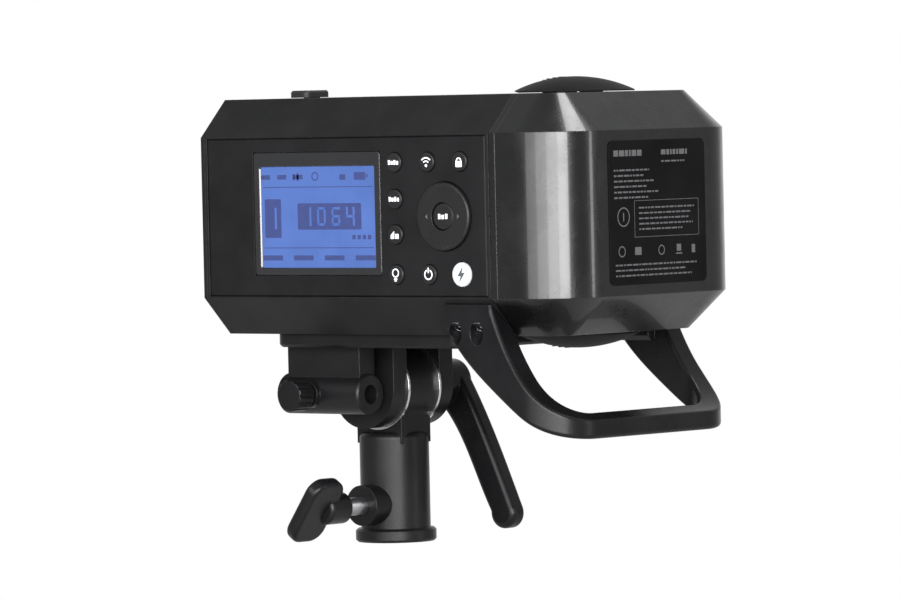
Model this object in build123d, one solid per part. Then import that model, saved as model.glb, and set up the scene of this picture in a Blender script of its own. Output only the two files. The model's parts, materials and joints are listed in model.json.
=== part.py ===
from build123d import *
import math
import os

# Battery monolight strobe: an octagonal flash head with a clip-on battery, a loop handle
# and a tilting stand bracket. Millimetres. The origin is the centre of the stand socket's
# mouth, +Z is up, the light shines towards -Y and the control panel is on the +X side.

# ---- driving dimensions -------------------------------------------------------------
BODY_W = 127.0
BODY_H = 104.0
AXIS_Z = 146.0
FRONT_Y = -55.0
SEAM_Y = 112.0
REAR_Y = 153.0
REAR_CORNER_R = 26.0
CHAMFER = 16.5
WALL = 3.5
PANEL_T = 2.0
FRONT_PLATE_T = 3.0

SIDE_X = BODY_W / 2
PANEL_Y0 = FRONT_Y + 4.5
PANEL_Y1 = SEAM_Y - 1.8
TOP_Z = AXIS_Z + BODY_H / 2
BASE_Z = AXIS_Z - BODY_H / 2
FLAT_HALF = BODY_H / 2 - CHAMFER

PIVOT_Z = 69.0
EAR_R = 18.0
SOCKET_R = 8.1
SOCKET_DEPTH = 42.0
SOCKET_WALL_R = 15.5
KNOB_Z = 17.0
KNOB_ANGLE = -35.0
UMBRELLA_X = 31.0
UMBRELLA_R = 4.25
UMBRELLA_Z = 67.0
UMBRELLA_FRONT_Y = -34.0
UMBRELLA_REAR_Y = 14.0
UMBRELLA_KNOB_Y = -14.0

DISPLAY_Y = 13.5
DISPLAY_W = 67.0
DISPLAY_H = 45.0
BEZEL_W = 74.0
BEZEL_H = 54.0
BEZEL_Z = AXIS_Z + 1.5

BUTTON_COLUMNS = (59.0, 77.7, 96.2)
BUTTON_ROWS = (23.5, 7.6, -7.7, -25.0)
BUTTON_R = 4.25
TEST_BUTTON_R = 5.3
BUTTONS = {
    "group_button": (0, 0, BUTTON_R),
    "wireless_button": (1, 0, BUTTON_R),
    "lock_button": (2, 0, BUTTON_R),
    "menu_button": (0, 1, BUTTON_R),
    "mode_button": (0, 2, BUTTON_R),
    "lamp_button": (0, 3, BUTTON_R),
    "power_button": (1, 3, BUTTON_R),
    "test_button": (2, 3, TEST_BUTTON_R),
}
DIAL_Y = 87.0
DIAL_R = 14.8
SET_R = 5.9

LATCH_R = 26.5
LATCH_Y = 108.0
LATCH_PIN_Y = 100.0

HANDLE_HALF_W = 62.0
HANDLE_REAR_Y = 149.0
HANDLE_T = 8.0
HANDLE_ARM_T = 11.5
HANDLE_CORNER_R = 24.0

CELL_R = 9.1
CELL_LEN = 65.0

parts = {}


# ---- shape helpers ------------------------------------------------------------------
def box(x0, x1, y0, y1, z0, z1):
    return Pos((x0 + x1) / 2, (y0 + y1) / 2, (z0 + z1) / 2) * Box(x1 - x0, y1 - y0, z1 - z0)


def cyl_x(r, x0, x1, y, z):
    return Pos((x0 + x1) / 2, y, z) * Rot(0, 90, 0) * Cylinder(r, x1 - x0)


def cyl_y(r, x, y0, y1, z):
    return Pos(x, (y0 + y1) / 2, z) * Rot(90, 0, 0) * Cylinder(r, y1 - y0)


def cyl_z(r, x, y, z0, z1):
    return Pos(x, y, (z0 + z1) / 2) * Cylinder(r, z1 - z0)


def body_block(inset, y0, y1):
    """The head's outer form between two Y stations, moved inwards by inset."""
    half_w = SIDE_X - inset
    rear = REAR_Y - inset
    lead = 200.0
    chamfer_len = CHAMFER - inset * (2 - math.sqrt(2))
    block = box(-half_w, half_w, rear - 2 * lead, rear, BASE_Z + inset, TOP_Z - inset)
    block = fillet(block.edges().filter_by(Axis.Z).group_by(Axis.Y)[-1], REAR_CORNER_R - inset)
    rims = block.faces().filter_by(Axis.Z).edges().filter_by(lambda e: e.center().Y > rear - 1.9 * lead)
    block = chamfer(rims, chamfer_len)
    return block & box(-90, 90, y0, y1, 0, 300)


def revolve_y(outline):
    """A solid turned about the light axis from (radius, y) points."""
    face = Plane.XY * make_face(Polyline(*outline, close=True))
    return Pos(0, 0, AXIS_Z) * revolve(face, Axis.Y)


def socket_screw_m4(length):
    """A socket-head screw with its head on the origin, pointing down."""
    head = Pos(0, 0, 1.6) * Cylinder(3.5, 3.2) - Pos(0, 0, 2.6) * Cylinder(1.6, 2.4)
    return head + Pos(0, 0, -length / 2) * Cylinder(1.95, length)


# ---- head casing --------------------------------------------------------------------
SADDLE_SCREWS = [(x, y) for x in (-32.0, 32.0) for y in (-24.0, 58.0)]
HANDLE_SCREW_YS = (90.0, 102.0)
PORT_Y0, PORT_Y1 = -6.0, 26.0
PORT_Z0, PORT_Z1 = AXIS_Z - 27.0, AXIS_Z - 11.0
VENT_SCREWS = [(y, AXIS_Z + z) for y in (-46.0, 103.0) for z in (-30.5, 30.5)]
MOUNT_SLOT = (-3.4, 3.4, -48.5, -36.0)


def chamfer_pose(side, y, along=0.0):
    """A place on the lower chamfer with +Z along its outward normal."""
    mid_x = SIDE_X - CHAMFER / 2
    mid_z = BASE_Z + CHAMFER / 2
    return Pos(side * mid_x, y, mid_z) * Rot(0, side * 135, 0) * Pos(along, 0, 0)


def head_shell(upper):
    shell = body_block(0, FRONT_Y + FRONT_PLATE_T, SEAM_Y) - body_block(WALL, FRONT_Y - 5, SEAM_Y + 5)
    for side in (-1, 1):
        outer = side * (SIDE_X + 1)
        inner = side * (SIDE_X - PANEL_T)
        shell -= box(*sorted((outer, inner)), PANEL_Y0 - 0.2, PANEL_Y1 + 0.2, AXIS_Z - 34.8, AXIS_Z + 34.8)
    # openings in the side walls behind the two side panels
    shell -= box(SIDE_X - 5, SIDE_X, -26, 52, AXIS_Z - 28, AXIS_Z + 31)
    shell -= box(SIDE_X - 5, SIDE_X, 53.5, 104, AXIS_Z - 32, AXIS_Z + 32)
    shell -= box(-SIDE_X, -SIDE_X + 5, 38, 98, AXIS_Z - 27, AXIS_Z + 27)
    shell -= box(-SIDE_X, -SIDE_X + 5, -42, 34, AXIS_Z - 29, AXIS_Z + 29)
    for x, z in FRONT_SCREWS:
        boss_x = sorted((x - math.copysign(5, x), math.copysign(SIDE_X - 3, x)))
        shell += box(*boss_x, FRONT_Y + 3, -43, z - 5, z + 5)
        shell -= cyl_y(1.3, x, FRONT_Y, -44, z)
    for y, z in VENT_SCREWS:
        shell -= cyl_x(1.3, -SIDE_X, -SIDE_X + 9, y, z)
    if upper:
        shell &= box(-90, 90, -90, 160, AXIS_Z + 0.1, 300)
        shell -= box(*MOUNT_SLOT, TOP_Z - 5, TOP_Z + 5)
        shell -= box(-9.5, 9.5, LATCH_PIN_Y - 4, SEAM_Y + 1, TOP_Z - 5, TOP_Z + 5)
        for side in (-1, 1):
            shell += box(*sorted((side * 9.8, side * 15)), 97, 102.8, TOP_Z - 10, TOP_Z - WALL)
        shell -= cyl_x(1.55, -16, 16, LATCH_PIN_Y, TOP_Z - 6.5)
    else:
        shell &= box(-90, 90, -90, 160, 0, AXIS_Z - 0.1)
        shell -= box(-9.5, 9.5, LATCH_PIN_Y - 4, SEAM_Y + 1, BASE_Z - 5, BASE_Z + 5)
        for side in (-1, 1):
            shell += box(*sorted((side * 9.8, side * 15)), 97, 102.8, BASE_Z + WALL, BASE_Z + 10)
        shell -= cyl_x(1.55, -16, 16, LATCH_PIN_Y, BASE_Z + 6.5)
        for x, y in SADDLE_SCREWS:
            shell += cyl_z(4.5, x, y, BASE_Z + WALL - 0.2, BASE_Z + 9)
            shell -= cyl_z(2.05, x, y, BASE_Z - 1, BASE_Z + 8)
        for side in (-1, 1):
            for y in HANDLE_SCREW_YS:
                shell -= chamfer_pose(side, y) * Cylinder(2.0, 12)
    return shell


def control_panel():
    plate = box(SIDE_X - PANEL_T, SIDE_X, PANEL_Y0, PANEL_Y1, AXIS_Z - 34.6, AXIS_Z + 34.6)
    plate = chamfer(plate.faces().sort_by(Axis.X)[-1].edges(), 0.6)
    plate -= box(
        SIDE_X - 4, SIDE_X + 1, DISPLAY_Y - BEZEL_W / 2, DISPLAY_Y + BEZEL_W / 2,
        BEZEL_Z - BEZEL_H / 2, BEZEL_Z + BEZEL_H / 2,
    )
    for column, row, r in BUTTONS.values():
        plate -= cyl_x(r + 0.2, SIDE_X - 4, SIDE_X + 1, BUTTON_COLUMNS[column], AXIS_Z + BUTTON_ROWS[row])
    return plate - cyl_x(DIAL_R + 0.3, SIDE_X - 4, SIDE_X + 1, DIAL_Y, AXIS_Z)


def display_window():
    """One clear plate over the display; its border is printed black from behind."""
    w, h = BEZEL_W / 2 - 0.15, BEZEL_H / 2 - 0.15
    plate = box(SIDE_X - 1.9, SIDE_X - 0.2, DISPLAY_Y - w, DISPLAY_Y + w, BEZEL_Z - h, BEZEL_Z + h)
    return fillet(plate.edges().filter_by(Axis.X), 1.5)


def key(r, y, z):
    """A push button: a domed cap with a flange that the panel keeps in."""
    cap = cyl_x(r, SIDE_X - 3.4, SIDE_X + 0.9, y, z)
    cap = fillet(cap.faces().sort_by(Axis.X)[-1].edges(), 0.7)
    return cap + cyl_x(r + 1.0, SIDE_X - 3.4, SIDE_X - PANEL_T - 0.25, y, z)


def vent_panel():
    plate = box(-SIDE_X, -SIDE_X + PANEL_T, PANEL_Y0, PANEL_Y1, AXIS_Z - 34.6, AXIS_Z + 34.6)
    plate = chamfer(plate.faces().sort_by(Axis.X)[0].edges(), 0.6)
    for i in range(11):
        z = AXIS_Z - 22.5 + i * 4.5
        plate -= box(-SIDE_X - 1, -SIDE_X + 3, 43, 93, z - 1.1, z + 1.1)
    for i in range(6):
        z = AXIS_Z + 2 + i * 4.5
        plate -= box(-SIDE_X - 1, -SIDE_X + 3, -40, 26, z - 1.1, z + 1.1)
    plate -= box(-SIDE_X - 1, -SIDE_X + 3, PORT_Y0, PORT_Y1, PORT_Z0, PORT_Z1)
    for y, z in VENT_SCREWS:
        plate -= cyl_x(2.5, -SIDE_X - 1, -SIDE_X + 1.2, y, z)
        plate -= cyl_x(1.3, -SIDE_X - 1, -SIDE_X + 3, y, z)
    return plate


def port_block():
    block = box(-SIDE_X + 2.2, -SIDE_X + 15, PORT_Y0 + 0.5, PORT_Y1 - 0.5, PORT_Z0 + 0.5, PORT_Z1 - 0.5)
    mid_z = (PORT_Z0 + PORT_Z1) / 2
    block -= cyl_x(1.8, -SIDE_X, -SIDE_X + 13, PORT_Y0 + 8, mid_z)
    return block - box(-SIDE_X, -SIDE_X + 9, PORT_Y1 - 14.5, PORT_Y1 - 5.5, mid_z - 1.7, mid_z + 1.7)


def port_cover():
    flap = box(-SIDE_X, -SIDE_X + 1.8, PORT_Y0 + 0.3, PORT_Y1 - 0.3, PORT_Z0 + 0.3, PORT_Z1 - 0.3)
    flap = fillet(flap.faces().sort_by(Axis.X)[0].edges(), 0.6)
    return flap + box(-SIDE_X - 1.0, -SIDE_X + 0.5, 5, 15, PORT_Z0 + 1.0, PORT_Z0 + 2.6)


# ---- front: bayonet mount, reflector, flash tube --------------------------------------
RING_OUT_R = 48.3
RING_IN_R = 44.2
RING_FRONT_Y = -67.0
PIN_R = 1.5
PIN_Z = AXIS_Z + (RING_OUT_R + RING_IN_R) / 2
DISH_FLOOR_Y = -38.0
FRONT_SCREWS = [(x, AXIS_Z + z) for x in (-53.0, 53.0) for z in (-24.0, 24.0)]


def front_plate():
    plate = body_block(0, FRONT_Y, FRONT_Y + FRONT_PLATE_T - 0.1)
    plate = chamfer(plate.faces().sort_by(Axis.Y)[0].outer_wire().edges(), 0.8)
    plate -= cyl_y(RING_OUT_R + 0.1, 0, FRONT_Y - 5, FRONT_Y + 10, AXIS_Z)
    for x, z in FRONT_SCREWS:
        plate -= cyl_y(2.5, x, FRONT_Y - 1, FRONT_Y + 1.2, z)
        plate -= cyl_y(1.3, x, FRONT_Y - 1, FRONT_Y + 8, z)
    return plate


def mount_ring():
    ring = cyl_y(RING_OUT_R, 0, RING_FRONT_Y, FRONT_Y + 8, AXIS_Z)
    ring = ring - cyl_y(RING_IN_R, 0, RING_FRONT_Y - 1, FRONT_Y + 9, AXIS_Z)
    lugs = cyl_y(RING_OUT_R + 2.6, 0, RING_FRONT_Y, RING_FRONT_Y + 3.5, AXIS_Z)
    lugs -= cyl_y(RING_OUT_R - 1, 0, RING_FRONT_Y - 1, RING_FRONT_Y + 5, AXIS_Z)
    for k in range(3):
        wedge = Rot(0, 120 * k, 0) * box(-14, 14, RING_FRONT_Y - 1, RING_FRONT_Y + 5, -60, -20)
        ring += lugs & (Pos(0, 0, AXIS_Z) * wedge)
    return ring - cyl_y(PIN_R + 0.1, 0, RING_FRONT_Y - 1, FRONT_Y + 9, PIN_Z)


def mount_release():
    cap = box(-8, 8, -51, -40, TOP_Z + 0.2, TOP_Z + 3.4)
    cap = fillet(cap.edges().filter_by(Axis.Z), 2.5)
    cap = chamfer(cap.faces().sort_by(Axis.Z)[-1].edges(), 0.8)
    for i in range(3):
        cap -= box(-6, 6, -49 + 3 * i, -47.8 + 3 * i, TOP_Z + 2.8, TOP_Z + 4)
    return cap + box(-3, 3, -46.5, -42, PIN_Z + PIN_R + 0.1, TOP_Z + 0.3)


def reflector_dish():
    t = 1.2
    floor = DISH_FLOOR_Y
    return revolve_y([
        (20.2, floor), (34.5, floor), (38.8, floor - 6), (43.9, RING_FRONT_Y + 8),
        (43.9 - t, RING_FRONT_Y + 8), (38.0, floor - 7), (34.0, floor - t), (20.2, floor - t),
    ])


def glass_dome():
    r_out, r_in, mid_y, rim_y = 31.0, 29.2, -50.0, DISH_FLOOR_Y - 1.2
    shell = Pos(0, mid_y, AXIS_Z) * Sphere(r_out) - Pos(0, mid_y, AXIS_Z) * Sphere(r_in)
    shell &= box(-40, 40, mid_y - 40, mid_y, AXIS_Z - 40, AXIS_Z + 40)
    skirt = cyl_y(r_out, 0, mid_y, rim_y, AXIS_Z) - cyl_y(r_in, 0, mid_y - 1, rim_y + 1, AXIS_Z)
    return shell + skirt


TUBE_R = 3.4
TUBE_RING_R = 14.5
TUBE_Y = -57.0
SOCKET_FRONT_Y = DISH_FLOOR_Y - 3


def flash_tube():
    """A ring of glass tube open at the bottom, with a straight leg at each end."""
    half_gap = 22.0
    circle = Plane.XY * Pos(TUBE_RING_R, TUBE_Y) * Circle(TUBE_R)
    ring = revolve(circle, Axis.Y, revolution_arc=360 - 2 * half_gap)
    tube = Pos(0, 0, AXIS_Z) * Rot(0, 90 - half_gap, 0) * ring
    angle = math.radians(half_gap + 10)
    for side in (-1, 1):
        x, z = side * TUBE_RING_R * math.sin(angle), AXIS_Z - TUBE_RING_R * math.cos(angle)
        tube += cyl_y(TUBE_R - 0.5, x, TUBE_Y, SOCKET_FRONT_Y, z)
    return tube


def tube_socket():
    disc = cyl_y(19.9, 0, SOCKET_FRONT_Y, -28, AXIS_Z)
    return disc - cyl_y(8.2, 0, SOCKET_FRONT_Y - 1, -34, AXIS_Z)


def modelling_led():
    lens = Pos(0, SOCKET_FRONT_Y, AXIS_Z) * Sphere(7.0)
    lens &= box(-9, 9, -60, SOCKET_FRONT_Y, AXIS_Z - 9, AXIS_Z + 9)
    return lens + cyl_y(8.0, 0, SOCKET_FRONT_Y - 0.6, -34.2, AXIS_Z)


def casing_screws():
    """One small countersunk screw, used on the front plate and on the vent panel."""
    group = []
    for x, z in FRONT_SCREWS:
        screw = cyl_y(2.4, x, FRONT_Y, FRONT_Y + 1.1, z) + cyl_y(1.25, x, FRONT_Y, FRONT_Y + 8, z)
        group.append(screw - cyl_y(0.9, x, FRONT_Y - 1, FRONT_Y + 0.6, z))
    for y, z in VENT_SCREWS:
        screw = cyl_x(2.4, -SIDE_X, -SIDE_X + 1.1, y, z) + cyl_x(1.25, -SIDE_X, -SIDE_X + 8, y, z)
        group.append(screw - cyl_x(0.9, -SIDE_X - 1, -SIDE_X + 0.6, y, z))
    return Compound(children=group)


# ---- inside the head ------------------------------------------------------------------
CAPACITOR_R = 17.0
CAPACITOR_XZ = [(x, z) for x in (-18.0, 20.0) for z in (AXIS_Z - 19.0, AXIS_Z + 19.0)]
BOARD_Z = BASE_Z + 10.5


def capacitors():
    group = []
    for x, z in CAPACITOR_XZ:
        can = cyl_y(CAPACITOR_R, x, 2, 96, z)
        can = fillet(can.faces().sort_by(Axis.Y)[-1].edges(), 2)
        group.append(can - cyl_y(CAPACITOR_R - 3, x, 95, 97, z))
    return Compound(children=group)


def transformer():
    core = box(-2, 34, -24, -4, BOARD_Z + 2, BOARD_Z + 30)
    core -= box(3, 9, -25, -3, BOARD_Z + 7, BOARD_Z + 25)
    core -= box(23, 29, -25, -3, BOARD_Z + 7, BOARD_Z + 25)
    return core + box(3.5, 28.5, -27, -1.5, BOARD_Z + 8, BOARD_Z + 24)


def fan_frame():
    frame = box(-58.5, -44, 43, 93, AXIS_Z - 25, AXIS_Z + 25)
    frame -= cyl_x(23.6, -60, -40, 68, AXIS_Z)
    for k in range(4):
        spoke = Rot(45 + 90 * k, 0, 0) * box(-46, -44.2, -1.2, 1.2, 8, 24.5)
        frame += Pos(0, 68, AXIS_Z) * spoke
    return frame + cyl_x(10, -46, -44.2, 68, AXIS_Z)


def fan_rotor():
    rotor = cyl_x(9.5, -57.5, -46.4, 68, AXIS_Z)
    rotor = fillet(rotor.faces().sort_by(Axis.X)[0].edges(), 1.5)
    for k in range(7):
        blade = Pos(-52, 0, 15.7) * Rot(0, 0, 35) * Box(10, 1.4, 13.6)
        rotor += Pos(0, 68, AXIS_Z) * Rot(360 / 7 * k, 0, 0) * blade
    return rotor


def rear_bulkhead():
    plate = body_block(WALL + 0.15, SEAM_Y - 5, SEAM_Y - 2)
    plate -= box(-20, 20, SEAM_Y - 10, SEAM_Y, TERMINAL_Z - 5, TERMINAL_Z + 5)
    for z0 in (BASE_Z, TOP_Z - 14):
        plate -= box(-10, 10, SEAM_Y - 10, SEAM_Y, z0, z0 + 14)
    return plate


TERMINAL_Z = AXIS_Z - 38.0


def terminal_block():
    block = box(-19.8, 19.8, SEAM_Y - 9, SEAM_Y - 1.5, TERMINAL_Z - 4.8, TERMINAL_Z + 4.8)
    for x in (-11, 0, 11):
        block -= box(x - 3, x + 3, SEAM_Y - 6, SEAM_Y, TERMINAL_Z - 0.6, TERMINAL_Z + 0.6)
    return block


def terminal_blades():
    blades = []
    for x in (-11, 0, 11):
        blades.append(box(x - 2.9, x + 2.9, SEAM_Y - 5.9, SEAM_Y + 6, TERMINAL_Z - 0.5, TERMINAL_Z + 0.5))
    return Compound(children=blades)


# ---- battery ----------------------------------------------------------------------------
BATTERY_Y = SEAM_Y + 0.4


def battery_cover():
    plate = body_block(0, BATTERY_Y, BATTERY_Y + 3.4)
    plate -= box(-15.5, 15.5, BATTERY_Y - 1, BATTERY_Y + 5, TERMINAL_Z - 1.2, TERMINAL_Z + 1.2)
    return plate - latch_slots()


def latch_slots():
    """Open-fronted grooves in the battery for the two latch tongues."""
    top = box(-7, 7, SEAM_Y - 5, SEAM_Y + 10, TOP_Z - 1.6, TOP_Z + 5)
    return top + box(-7, 7, SEAM_Y - 5, SEAM_Y + 10, BASE_Z - 5, BASE_Z + 1.6)


def battery_case():
    shell = body_block(0, BATTERY_Y + 3.4, REAR_Y + 1) - body_block(2.4, BATTERY_Y - 5, REAR_Y + 1)
    shell -= latch_slots()
    shell -= cyl_x(3.1, -SIDE_X - 1, -SIDE_X + 4, GAUGE_Y, AXIS_Z + 12)
    for i in range(4):
        shell -= cyl_x(1.25, -SIDE_X - 1, -SIDE_X + 4, GAUGE_Y, AXIS_Z + 2 - 5 * i)
    return shell


GAUGE_Y = SEAM_Y + 9.0


def battery_cells():
    pitch = 2 * CELL_R + 0.8
    near_y = BATTERY_Y + 3.4 + CELL_R + 0.2
    far_y = near_y + 16.4
    cells = []
    for i in range(3):
        cells.append(cyl_x(CELL_R, -CELL_LEN / 2, CELL_LEN / 2, near_y, AXIS_Z + (i - 1) * pitch))
        cells.append(cyl_x(CELL_R, -CELL_LEN / 2, CELL_LEN / 2, far_y, AXIS_Z + (i - 0.5) * pitch))
    return Compound(children=cells)


def gauge_lights():
    lights = [cyl_x(1.2, -SIDE_X, -SIDE_X + 3, GAUGE_Y, AXIS_Z + 2 - 5 * i) for i in range(4)]
    return Compound(children=lights)


def rating_label():
    plate = box(-33, 33, REAR_Y, REAR_Y + 0.35, AXIS_Z - 31, AXIS_Z + 31)
    return fillet(plate.edges().filter_by(Axis.Y), 3)


# ---- battery latches ----------------------------------------------------------------------
def latch_cap():
    """The top rocker: a low dome that tips on a pin, with a tongue over the battery."""
    dome_r = 60.0
    base = TOP_Z + 0.3
    peak = TOP_Z + 7.0
    cap = cyl_z(LATCH_R, 0, LATCH_Y, base, peak)
    cap &= Pos(0, LATCH_Y, peak - dome_r) * Sphere(dome_r)
    wedge = make_face(Polyline(
        (LATCH_PIN_Y - 2, base - 0.1), (LATCH_Y - LATCH_R - 1, base - 0.1),
        (LATCH_Y - LATCH_R - 1, base + 1.9), close=True,
    ))
    cap -= Pos(-40, 0, 0) * extrude(Plane.YZ * wedge, 80)
    stem = box(-9, 9, LATCH_PIN_Y - 2.4, LATCH_PIN_Y + 2.4, TOP_Z - 6.5, base + 1)
    stem += cyl_x(2.4, -9, 9, LATCH_PIN_Y, TOP_Z - 6.5)
    stem -= cyl_x(1.6, -10, 10, LATCH_PIN_Y, TOP_Z - 6.5)
    tongue = box(-6, 6, SEAM_Y + 4, SEAM_Y + 7.5, TOP_Z - 1.2, base + 1)
    return cap + stem + tongue


def mirrored_low(shape):
    """The same piece below the head, mirrored about the light axis."""
    return Pos(0, 0, 2 * AXIS_Z) * mirror(shape, Plane.XY)


def latch_pins():
    pins = [cyl_x(1.5, -15, 15, LATCH_PIN_Y, z) for z in (TOP_Z - 6.5, BASE_Z + 6.5)]
    return Compound(children=pins)


# ---- handle ------------------------------------------------------------------------------
def handle():
    w, t, r = HANDLE_HALF_W, HANDLE_T, HANDLE_CORNER_R
    start_y = 84.0
    outer = box(-w, w, start_y - 60, HANDLE_REAR_Y, 40, 112)
    outer = fillet(outer.edges().filter_by(Axis.Z).group_by(Axis.Y)[-1], r)
    inner_w = w - HANDLE_ARM_T
    inner = box(-inner_w, inner_w, start_y - 80, HANDLE_REAR_Y - t, 30, 120)
    inner = fillet(inner.edges().filter_by(Axis.Z).group_by(Axis.Y)[-1], r - t)
    profile = make_face([
        Spline((84, 98), (93, 86), (114, 67.5), (130, 56.3), (150, 49.5)),
        Line((150, 49.5), (150, 57.5)),
        Spline((150, 57.5), (138, 64), (126, 76), (110, 106.5)),
        Polyline((110, 106.5), (110, 108), (84, 108), (84, 98)),
    ])
    side = Pos(-100, 0, 0) * extrude(Plane.YZ * profile, 200)
    loop = (outer - inner) & side
    rounded = loop.edges().filter_by(lambda e: e.center().Y > start_y + 1 and e.center().Z < 107.5)
    loop = fillet(rounded, 1.6)
    for s in (-1, 1):
        foot = box(*sorted((s * 46, s * w)), 84.2, 109.5, BASE_Z - 6, BASE_Z + 14)
        foot &= chamfer_pose(s, 97) * Pos(0, 0, 3) * Box(30, 40, 6)
        loop += foot
    loop -= body_block(0, -60, SEAM_Y + 0.2)
    loop -= body_block(-0.5, SEAM_Y - 1.0, REAR_Y + 5)
    for s in (-1, 1):
        for y in HANDLE_SCREW_YS:
            loop -= chamfer_pose(s, y) * Cylinder(2.0, 30)
            loop -= chamfer_pose(s, y) * Pos(0, 0, 3.15 + 10) * Cylinder(3.6, 20)
    return loop


# ---- tilting bracket -----------------------------------------------------------------------
KNUCKLE_HALF = 9.8
WASHER_T = 1.2
EAR_IN = KNUCKLE_HALF + WASHER_T + 0.1
EAR_OUT = EAR_IN + 9.0
SADDLE_T = 6.0


def saddle():
    plate = box(-44, 44, -32, 79, BASE_Z - SADDLE_T, BASE_Z)
    plate = fillet(plate.edges().filter_by(Axis.Z), 8)
    plate = chamfer(plate.faces().sort_by(Axis.Z)[0].edges(), 1.2)
    for s in (-1, 1):
        x0, x1 = sorted((s * EAR_IN, s * EAR_OUT))
        plate += cyl_x(EAR_R, x0, x1, 0, PIVOT_Z)
        plate += box(x0, x1, -EAR_R, EAR_R, PIVOT_Z, BASE_Z - SADDLE_T + 1)
    plate -= cyl_x(4.05, -30, EAR_OUT + 1, 0, PIVOT_Z)
    plate -= cyl_x(7.7, EAR_OUT - 4.5, EAR_OUT + 1, 0, PIVOT_Z)
    for x, y in SADDLE_SCREWS:
        plate -= cyl_z(2.05, x, y, 60, BASE_Z + 5)
        plate -= cyl_z(3.6, x, y, BASE_Z - SADDLE_T - 1, BASE_Z - SADDLE_T + 3.4)
    return plate


def umbrella_holder():
    """A tube along the light axis, hung under the saddle's plate by a web."""
    holder = cyl_y(9.0, UMBRELLA_X, UMBRELLA_FRONT_Y, UMBRELLA_REAR_Y, UMBRELLA_Z)
    holder = chamfer(holder.edges(), 0.8)
    holder += box(
        UMBRELLA_X - 5, UMBRELLA_X + 5, UMBRELLA_FRONT_Y + 4, UMBRELLA_REAR_Y - 2,
        UMBRELLA_Z, BASE_Z - SADDLE_T,
    )
    holder += cyl_x(6.0, UMBRELLA_X, UMBRELLA_X + 11, UMBRELLA_KNOB_Y, UMBRELLA_Z)
    holder -= cyl_y(UMBRELLA_R, UMBRELLA_X, UMBRELLA_FRONT_Y - 5, UMBRELLA_REAR_Y + 5, UMBRELLA_Z)
    return holder - cyl_x(2.55, UMBRELLA_X, UMBRELLA_X + 12, UMBRELLA_KNOB_Y, UMBRELLA_Z)


def stand_block():
    block = cyl_x(EAR_R - 0.6, -KNUCKLE_HALF, KNUCKLE_HALF, 0, PIVOT_Z)
    block += box(-KNUCKLE_HALF, KNUCKLE_HALF, -13, 13, 44, PIVOT_Z)
    body = cyl_z(SOCKET_WALL_R, 0, 0, 0, 49)
    body = fillet(body.faces().sort_by(Axis.Z)[-1].edges(), 3)
    block += body
    collar = cyl_z(18.0, 0, 0, 0, 6)
    block += chamfer(collar.edges(), 1)
    block += cyl_x(9.0, 10, 23, 0, KNOB_Z)
    block -= cyl_z(SOCKET_R, 0, 0, -1, SOCKET_DEPTH)
    block -= cyl_x(4.05, 0, 24, 0, KNOB_Z)
    return block - cyl_x(4.1, -12, 12, 0, PIVOT_Z)


def bracket_screws():
    """The same screw holds the handle's feet and the saddle to the head."""
    group = []
    for side in (-1, 1):
        for y in HANDLE_SCREW_YS:
            group.append(chamfer_pose(side, y) * Pos(0, 0, 3.2) * socket_screw_m4(6.5))
    for x, y in SADDLE_SCREWS:
        group.append(Pos(x, y, BASE_Z - SADDLE_T + 3.4) * Rot(180, 0, 0) * socket_screw_m4(10))
    return Compound(children=group)


def tilt_washers():
    group = []
    for s in (-1, 1):
        x0, x1 = sorted((s * (KNUCKLE_HALF + 0.05), s * (KNUCKLE_HALF + 0.05 + WASHER_T)))
        group.append(cyl_x(EAR_R + 1.0, x0, x1, 0, PIVOT_Z) - cyl_x(4.1, x0 - 1, x1 + 1, 0, PIVOT_Z))
    return Compound(children=group)


def tilt_bolt():
    bolt = cyl_x(4.0, -24, EAR_OUT - 1, 0, PIVOT_Z) + cyl_x(7.5, EAR_OUT - 4.5, EAR_OUT, 0, PIVOT_Z)
    return bolt - cyl_x(2.5, EAR_OUT - 2.5, EAR_OUT + 1, 0, PIVOT_Z)


LEVER_X = -EAR_OUT - 0.3


def lever_insert():
    insert = cyl_x(8.5, LEVER_X - 1.5, LEVER_X, 0, PIVOT_Z) + cyl_x(6.4, LEVER_X - 19, LEVER_X, 0, PIVOT_Z)
    return insert - cyl_x(4.05, -24.2, 0, 0, PIVOT_Z)


def tilt_lever():
    hub = cyl_x(10.5, LEVER_X - 22, LEVER_X - 1.8, 0, PIVOT_Z)
    hub = fillet(hub.edges(), 1.0)
    blade = make_face([
        Spline((-7.5, PIVOT_Z - 5), (4.5, 52), (13.5, 37), (26.3, 11.5)),
        ThreePointArc((26.3, 11.5), (35.6, 4.4), (39.7, 13.5)),
        Spline((39.7, 13.5), (28.5, 38), (20, 55), (9.5, PIVOT_Z + 4)),
        Line((9.5, PIVOT_Z + 4), (-7.5, PIVOT_Z - 5)),
    ])
    arm = Pos(LEVER_X - 22, 0, 0) * extrude(Plane.YZ * blade, 9)
    lever = hub + fillet(arm.edges().filter_by(lambda e: e.center().Z < PIVOT_Z - 4), 2.5)
    lever -= cyl_x(6.5, LEVER_X - 19.5, LEVER_X, 0, PIVOT_Z)
    return lever


# ---- clamp screws: pad, screw and knob --------------------------------------------------------
def socket_pad():
    return cyl_x(3.9, SOCKET_R + 0.1, 11, 0, KNOB_Z)


def socket_screw():
    return cyl_x(3.95, 11.05, 46, 0, KNOB_Z)


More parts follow.
